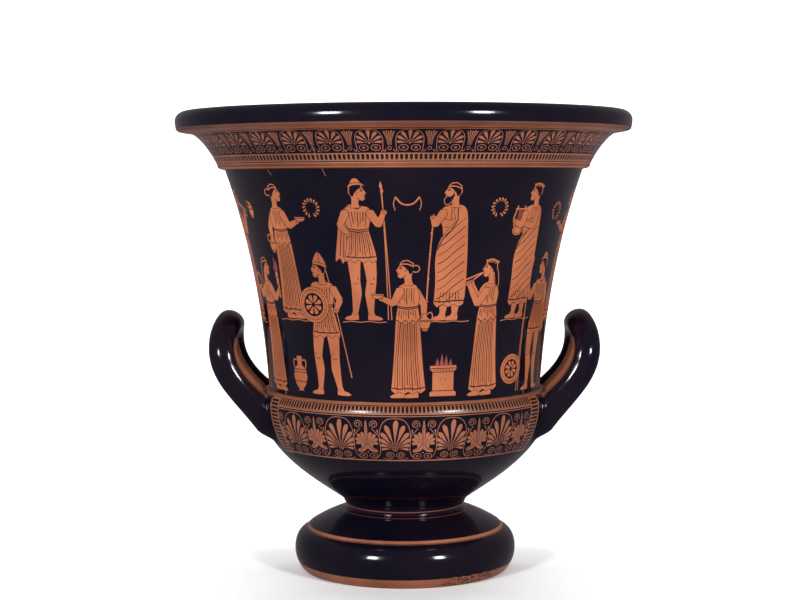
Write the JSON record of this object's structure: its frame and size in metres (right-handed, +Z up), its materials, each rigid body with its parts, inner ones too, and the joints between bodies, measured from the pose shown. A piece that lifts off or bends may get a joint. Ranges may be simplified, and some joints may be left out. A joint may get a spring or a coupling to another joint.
{
  "type": "krater",
  "caption": "Deep flaring clay mixing bowl with a heavy rounded lip, up-curving loop handles low on the body and a moulded hollow foot; black gloss with painted figures.",
  "frame": {"origin": "middle of the foot's resting ring", "axes": "+Z up along the pot's turning axis; the handles lie along X; the front picture faces -Y"},
  "size_m": [0.5348, 0.5348, 0.54],
  "materials": {
    "black_gloss": "fired clay under glossy black slip; painted bands, lip underside and figures left in orange clay"
  },
  "bodies": {
    "root": {"krater": "black_gloss"}
  },
  "joints": []
}
